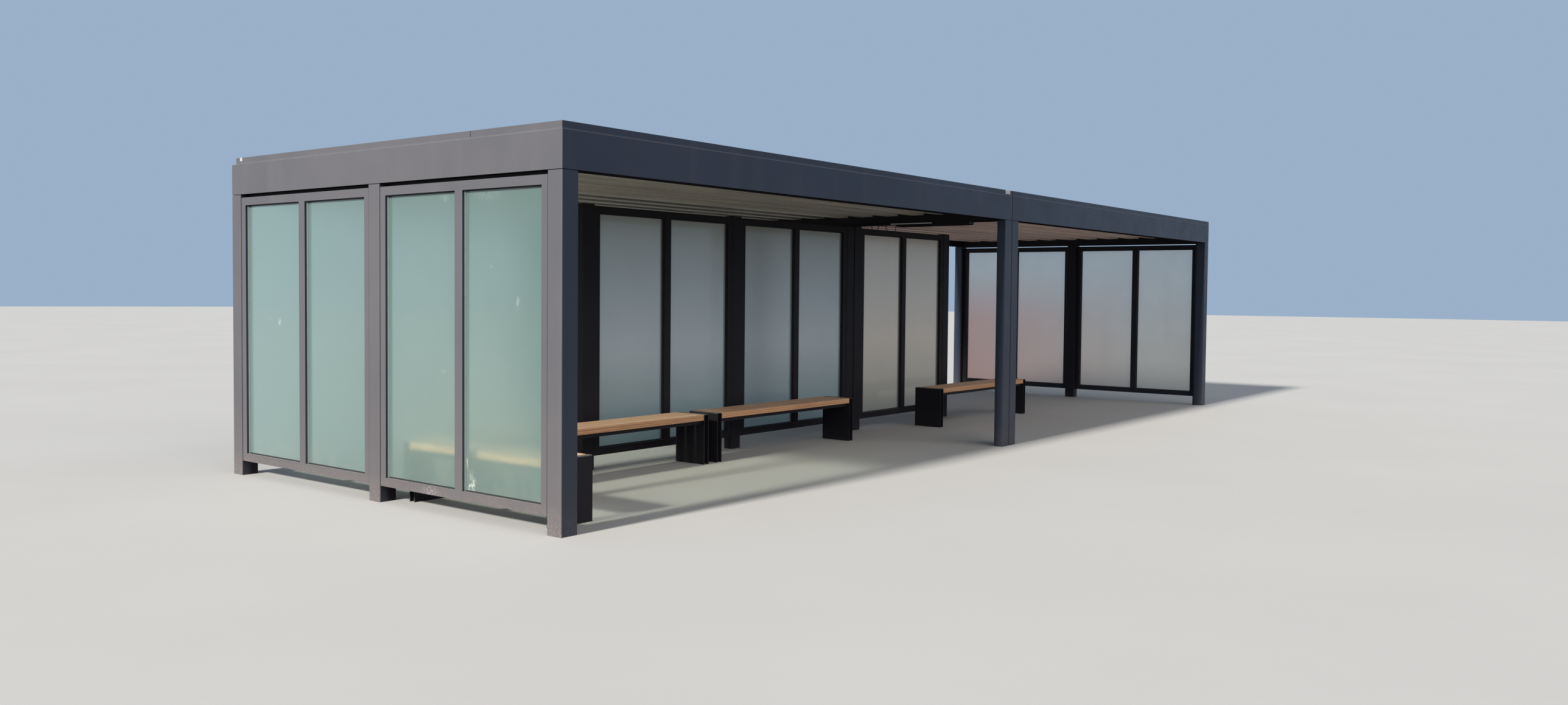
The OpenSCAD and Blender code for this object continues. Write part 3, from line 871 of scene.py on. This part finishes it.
def clip_outline():
    """A cable clip from its end: two flanges on the duct and a loop round the cable."""
    angles = [math.radians(18 * i) for i in range(11)]
    inner, outer = [[(-radius * math.cos(a), -CLIP_DROP - radius * math.sin(a)) for a in angles]
                    for radius in (CLIP_LOOP, CLIP_LOOP * CLIP_SWELL)]
    outer_flange = [(u, v - CLIP_SHEET) for u, v in CLIP_FLANGE]
    inner = both_sides(CLIP_FLANGE + [CLIP_SHOULDER], inner)
    outer = both_sides(outer_flange + [CLIP_OUTER_SHOULDER], outer)
    return inner + outer[::-1]


def add_cable_fittings(paint, metal):
    nuts = bmesh.new()
    for forward in (CABLE_ROUTE[0][0], CABLE_ROUTE[-1][0]):
        turned(nuts, on_duct(forward, 0), DOWN, NUT_PROFILE, sides=6)
        turned(nuts, on_duct(forward, 0), DOWN, GLAND_PROFILE, sides=20)
    add_mesh("cable_glands", nuts, paint, slot="frame", smooth_angle=30)
    clips = bmesh.new()
    for forward in CLIPS_AT:
        loft(clips, [[on_duct(forward + end, v, CABLE_X + u) for u, v in clip_outline()]
                     for end in CLIP_ENDS])
        for u in (-CLIP_RIVET_AT, CLIP_RIVET_AT):
            rivet = on_duct(forward, -0.0013, CABLE_X + u)
            turned(clips, rivet, DOWN, RIVET_PROFILE, sides=12)
    add_mesh("cable_clips", clips, metal, slot="frame", smooth_angle=30)


def add_diffusers(material):
    """The pale light strips along both sides of each lamp housing, with rounded lower edges."""
    low, high = box("lamp_strips")
    work = bmesh.new()
    for x in (low[0], high[0] - STRIP_STAND):
        for y in (low[1], high[1] - STRIP_LENGTH):
            eased_box(work, (x, y, low[2]), (x + STRIP_STAND, y + STRIP_LENGTH, high[2]),
                      ease=0.0018, axis=1)
    add_mesh("lamp_diffusers", work, material, slot="light", replaced="lamp_strips")


def add_lamp_screws(metal):
    work = bmesh.new()
    below = box("lamp_housings")[0][2]
    for side in (-1, 1):
        for y in LAMP_SCREWS_Y:
            for x in LAMP_SCREWS_X:
                turned(work, (x, side * y, below + 0.0002), DOWN, LAMP_SCREW_PROFILE, sides=18)
    add_mesh("lamp_screws", work, metal, slot="frame", smooth_angle=30)


# Roof

CORNER_X = 6.145
CORNER_Y = 2.07
JOINT_BOTTOM = 2.616
EDGING_RECESS = 0.003
EDGING_X = CORNER_X - EDGING_RECESS
EDGING_Y = CORNER_Y - EDGING_RECESS
BARE_CORNER = 0.07  # the rear left corner has no bead

PLATE_X = (-0.147, -0.052)
PLATE_Z = (2.6295, 2.6695)
PLATE_SCREWS_X = (-0.130, -0.069)
PLATE_SCREWS_Z = 2.650
PLATE_SCREW_PROFILE = ((0.004, 0), (0.004, 0.0003), (0.0022, 0.0008))
PLATE_PROUD = 0.0022
PLATE_EASE = 0.0011
END_CLIP_Y = (1.903, 1.936)
END_CLIP_Z = (2.640, 2.6695)
COVER_X = (6.083, 6.1425)
COVER_Z = (2.6275, 2.6698)
COVER_PROUD = 0.0018
COVER_SCREW = (6.106, -EDGING_Y - COVER_PROUD, 2.647)
COVER_SCREW_PROFILE = ((0.0075, 0), (0.0075, 0.0006), (0.0045, 0.0011))
EDGING_JOINTS = ((-1, -1.137), (1, -1.137), (1, 1.137))  # the end, and the place along it
EDGING_JOINT_Z = (2.6265, 2.6697)
EDGING_JOINT_PROUD = 0.0012
EDGING_JOINT_HALF = 0.0022

BEAD_Z = (JOINT_BOTTOM - 0.0002, JOINT_BOTTOM + 0.0052)
BEAD_DEEP = 0.0035  # from the face of the beams to the bead's inner and outer side
BEAD_SHALLOW = 0.0003
BEAD_EASE = 0.0012
MODULE_GAP_HALF = 0.0055

COVERING_GAP = 0.004  # between the covering and the edge beams
COVERING_STEP = 0.026
COVERING_DEPTH = 0.011
COVERING_SWELL = 0.007
COVERING_GRIT = 0.0035
COVERING_LEAST = 0.003
COVERING_BORDER = 0.0005

RIB_PITCH = 0.333
RIB_SLOPE = 0.018
RIB_WIDTH = 0.150
SCREW_ROWS = 4
SCREW_ROW_INSET = 0.06
WASHER_PROFILE = ((0.008, 0), (0.008, 0.0012), (0.0066, 0.0018))
HEAD_PROFILE = ((0.0046, 0), (0.0046, 0.0042), (0.0036, 0.0052))

FOLD_FROM_FACE = 0.077
FOLD_HALF = 0.0012
FOLD_Z = (0.02, 2.352)
PLUG_FROM_FACE = 0.040
PLUG_Z = 2.182
PLUG_PROFILE = ((0.0085, 0), (0.0085, 0.0014), (0.0070, 0.0022), (0.003, 0.0026))


def add_edging_parts(paint, metal, dark):
    """The plates at the module joint, the end clip, the corner piece and the edging's joints."""
    plates = bmesh.new()
    for side in (-1, 1):
        face = side * EDGING_Y
        y = proud_of(face, side, PLATE_PROUD)
        eased_box(plates, *zip(PLATE_X, y, PLATE_Z), ease=PLATE_EASE)
        for x in PLATE_SCREWS_X:
            screw = (x, face + side * 0.0020, PLATE_SCREWS_Z)
            turned(plates, screw, (0, side, 0), PLATE_SCREW_PROFILE, sides=14)
    x = proud_of(-EDGING_X, -1, PLATE_PROUD)
    eased_box(plates, *zip(x, END_CLIP_Y, END_CLIP_Z), ease=PLATE_EASE, axis=1)
    turned(plates, COVER_SCREW, (0, -1, 0), COVER_SCREW_PROFILE, sides=18)
    add_mesh("edging_clips", plates, metal, slot="steel", smooth_angle=30)

    cover = bmesh.new()
    y = proud_of(-EDGING_Y, -1, COVER_PROUD)
    eased_box(cover, *zip(COVER_X, y, COVER_Z), ease=0.0009)
    add_mesh("edging_corner", cover, paint, slot="steel")

    joints = bmesh.new()
    for side, y in EDGING_JOINTS:
        x = proud_of(side * EDGING_X, side, EDGING_JOINT_PROUD)
        eased_box(joints, *zip(x, around(y, EDGING_JOINT_HALF), EDGING_JOINT_Z),
                  ease=0.0005, axis=2)
    add_mesh("edging_joints", joints, dark, slot="seal")


def add_edging_bead(material):
    """A pale bead in the joint under the top edging, a painted highlight of the drip, open at the
    bare rear left corner.
    """
    work = bmesh.new()
    end_x, end_y = CORNER_X - BEAD_SHALLOW, CORNER_Y - BEAD_SHALLOW
    for side in (-1, 1):
        y = sorted((side * (CORNER_Y - BEAD_DEEP), side * end_y))
        left = -end_x if side < 0 else -CORNER_X + BARE_CORNER
        for x in ((left, -MODULE_GAP_HALF), (MODULE_GAP_HALF, end_x)):
            eased_box(work, *zip(x, y, BEAD_Z), ease=BEAD_EASE)
        x = sorted((side * (CORNER_X - BEAD_DEEP), side * end_x))
        rear = end_y if side > 0 else CORNER_Y - BARE_CORNER
        eased_box(work, *zip(x, (-end_y, rear), BEAD_Z), ease=BEAD_EASE, axis=1)
    add_mesh("edging_highlight_bead", work, material, slot="steel")


def add_covering(name, tray, material):
    """The mineral covering on a tray: an uneven sheet whose border lies on the tray."""
    low, high = box(tray)
    inset = Vector((COVERING_GAP, COVERING_GAP, 0))
    low, high = low + inset, high - inset
    columns = round((high[0] - low[0]) / COVERING_STEP)
    rows = round((high[1] - low[1]) / COVERING_STEP)
    work = bmesh.new()
    grid = []
    for j in range(rows + 1):
        row = []
        for i in range(columns + 1):
            x = low[0] + (high[0] - low[0]) * i / columns
            y = low[1] + (high[1] - low[1]) * j / rows
            wide = noise.fractal(Vector((x * 2.1, y * 2.1, 0.3)), 1.0, 2.0, 3)
            fine = noise.noise(Vector((x * 31, y * 31, 4.7)))
            height = COVERING_DEPTH + COVERING_SWELL * wide + COVERING_GRIT * fine
            height = max(height, COVERING_LEAST)
            if i in (0, columns) or j in (0, rows):
                height = COVERING_BORDER
            row.append(work.verts.new((x, y, high[2] + height)))
        grid.append(row)
    for near, far in zip(grid, grid[1:]):
        for i in range(columns):
            work.faces.new((near[i], near[i + 1], far[i + 1], far[i]))
    add_mesh(name, work, material, slot="tray", smooth_angle=80)


def add_ceiling_screws(metal):
    """Washer screws through the low flats of the ceiling sheets, in rows across them."""
    work = bmesh.new()
    for node in ("left_ceiling", "right_ceiling"):
        low, high = box(node)
        width = high[1] - low[1]
        count = math.floor(width / RIB_PITCH)
        edge = (width - count * RIB_PITCH + RIB_PITCH - RIB_WIDTH) / 2 - RIB_SLOPE
        run = high[0] - low[0] - 2 * SCREW_ROW_INSET
        for row in range(SCREW_ROWS):
            x = low[0] + SCREW_ROW_INSET + run * row / (SCREW_ROWS - 1)
            for i in range(count):
                y = low[1] + edge + i * RIB_PITCH + RIB_SLOPE + RIB_WIDTH / 2
                turned(work, (x, y, low[2] + 0.0003), DOWN, WASHER_PROFILE, sides=16)
                turned(work, (x, y, low[2] - 0.0012), DOWN, HEAD_PROFILE, sides=6)
    add_mesh("ceiling_screws", work, metal, slot="ceiling", smooth_angle=30)


def add_post_details(dark):
    """The folded joint line and the plug on the sides of the slim centre posts."""
    work = bmesh.new()
    for node in ("front_centre_posts", "rear_centre_posts"):
        low, high = box(node)
        face, side = (low[1], -1) if low[1] < 0 else (high[1], 1)
        for x, out in ((low[0], -1), (high[0], 1)):
            fold_x = proud_of(x, out, 0.0005, sunk=0.0008)
            fold_y = around(face - side * FOLD_FROM_FACE, FOLD_HALF)
            eased_box(work, *zip(fold_x, fold_y, FOLD_Z), ease=0.0003, axis=2)
            plug = (x - out * 0.0005, face - side * PLUG_FROM_FACE, PLUG_Z)
            turned(work, plug, (out, 0, 0), PLUG_PROFILE, sides=20)
    add_mesh("post_joint_lines", work, dark, slot="seal", smooth_angle=30)


# Stage and light

FLOOR_RADIUS = 90


def assign(material, *names):
    for name in names:
        for material_slot in nodes[name].material_slots:
            material_slot.material = material


def add_stage():
    mesh = bpy.data.meshes.new("floor")
    plane = bmesh.new()
    bmesh.ops.create_circle(plane, cap_ends=True, radius=FLOOR_RADIUS, segments=96)
    plane.to_mesh(mesh)
    plane.free()
    floor = bpy.data.objects.new("floor", mesh)
    bpy.context.scene.collection.objects.link(floor)
    mesh.materials.append(floor_surface())


def add_lamp(name, strength, spread, colour, direction):
    """A distant lamp; spread is its width in degrees."""
    data = bpy.data.lights.new(name, "SUN")
    data.energy = strength
    data.angle = math.radians(spread)
    data.color = colour
    lamp = bpy.data.objects.new(name, data)
    lamp.rotation_euler = Vector(direction).to_track_quat("-Z", "Y").to_euler()
    bpy.context.scene.collection.objects.link(lamp)


def add_light():
    world = bpy.data.worlds.new("studio")
    world.use_nodes = True
    background = world.node_tree.nodes["Background"]
    background.inputs["Color"].default_value = (0.56, 0.75, 1.0, 1)
    background.inputs["Strength"].default_value = 0.58
    bpy.context.scene.world = world
    add_lamp("key", strength=9.0, spread=5, colour=(1.0, 0.95, 0.88),
             direction=(0.86, -0.02, -0.5))
    add_lamp("fill", strength=1.5, spread=60, colour=(1.0, 0.84, 0.68),
             direction=(0.12, 0.80, -0.58))
    bpy.context.scene.view_settings.view_transform = "Standard"


add_camera()
add_cable(rubber("black_rubber", (0.012, 0.012, 0.013)))
add_stage()
add_light()

paint = painted_steel()
metal = zinc()
joint_seal = rubber("joint_seal", (0.010, 0.010, 0.012))
# A pale seal that stands for lit pane edges: painted highlight.
pale_highlight_seal = rubber("glazing_seal_highlight", (0.115, 0.150, 0.142), spread=1.15)
clear = clear_glass()
# One frosted glass in four looks, toned apart for how light falls on each wall and what shows
# through: painted light.
left_film = frosted_film(Film(
    "frosted_film_left", dark=(0.150, 0.250, 0.240), light=(0.175, 0.280, 0.266),
    rear=(0.215, 0.335, 0.325), through=(0.82, 0.88, 0.83), through_rear=(0.82, 0.88, 0.88),
    tint=(1.0, 0.97, 0.92), blur=0.55, share=0.34, top_darkening=0.16))
wall_film = frosted_film(Film(
    "frosted_film_wall", dark=(0.250, 0.310, 0.330), light=(0.280, 0.340, 0.355),
    rear=(0.265, 0.325, 0.345), through=(0.84, 0.86, 0.89), through_rear=(0.84, 0.86, 0.89),
    tint=(1.0, 0.96, 0.94), blur=0.45, share=0.26, top_darkening=0.95, low_shade=0.9))
last_film = frosted_film(Film(
    "frosted_film_last", dark=(0.380, 0.350, 0.330), light=(0.415, 0.380, 0.360),
    rear=(0.400, 0.365, 0.345), through=(1.0, 0.90, 0.85), through_rear=(1.0, 0.90, 0.85),
    tint=(1.0, 0.90, 0.80), blur=0.70, share=0.24, top_darkening=0.5, low_shade=0.5))
# The pink towards its rear, below 2 m, is painted see-through light: red barriers standing behind
# that wall.
right_film = frosted_film(Film(
    "frosted_film_right", dark=(0.300, 0.345, 0.375), light=(0.330, 0.370, 0.400),
    rear=(0.46, 0.26, 0.26), through=(0.98, 0.93, 0.89), through_rear=(1.0, 0.64, 0.60),
    tint=(1.0, 0.96, 0.93), blur=0.75, share=0.12, rear_top=2.0))
wood = timber()
cover = mineral_cover()

assign(paint, *SLOT_NODES["steel"], *SLOT_NODES["frame"])
assign(ceiling_sheet("ceiling_coating_left", dark=(0.31, 0.295, 0.260),
                     light=(0.385, 0.365, 0.320)), "left_ceiling")
assign(ceiling_sheet("ceiling_coating_right", dark=(0.56, 0.420, 0.385),
                     light=(0.66, 0.500, 0.460)), "right_ceiling")
assign(cover, *SLOT_NODES["tray"])
assign(joint_seal, "module_seal")

add_glass("left_glass", ("left_front_frame", "left_rear_frame"), clear, left_film)
add_glass("right_glass", ("right_front_frame", "right_rear_frame"), clear, right_film)
for number, film in ((1, wall_film), (2, wall_film), (3, last_film)):
    add_glass(f"wall_glass_{number}", (f"wall_frame_{number}",), clear, film)
# The upright seals of the left end are pale, a painted highlight of lit pane edges; level seals are
# dark, their own black and painted shade of the reveals.
for name in FRAMES:
    add_seals(name + "_seals", name, pale_highlight_seal if name.startswith("left") else joint_seal,
              joint_seal)
# A joint between frame and post, darkened as painted shade.
add_frame_joint_shade("frame_joints_and_shade", FRAMES, joint_seal)
# Painted shade: dark strips in the gap above the end frames.
add_gap_shade_strips("gap_shade_strips", END_FRAMES, joint_seal)

# The wall benches' boards are toned darker than the end bench's: painted shade.
for number in (1, 2, 3):
    add_boards(f"bench_{number}_boards", wood, along=0, painted_light_lift=0.0)
add_boards("end_bench_boards", wood, along=1, painted_light_lift=0.6)

add_cable_fittings(paint, metal)
add_diffusers(two_toned("pale_diffuser", scale=12, detail=5, dark=(0.3, (0.82, 0.82, 0.80)),
                        light=(0.75, (0.92, 0.92, 0.90)), roughness=0.35))
add_lamp_screws(metal)
add_edging_parts(paint, metal, joint_seal)
# The pale bead stands for light caught by the drip edge: painted highlight.
add_edging_bead(two_toned("bead_painted_highlight", scale=9, detail=6, dark=(0.3, (0.092, 0.095, 0.104)),
                          light=(0.7, (0.115, 0.118, 0.126)), specular=0.25))
add_covering("left_covering", "left_tray", cover)
add_covering("right_covering", "right_tray", cover)
add_ceiling_screws(metal)
add_post_details(joint_seal)
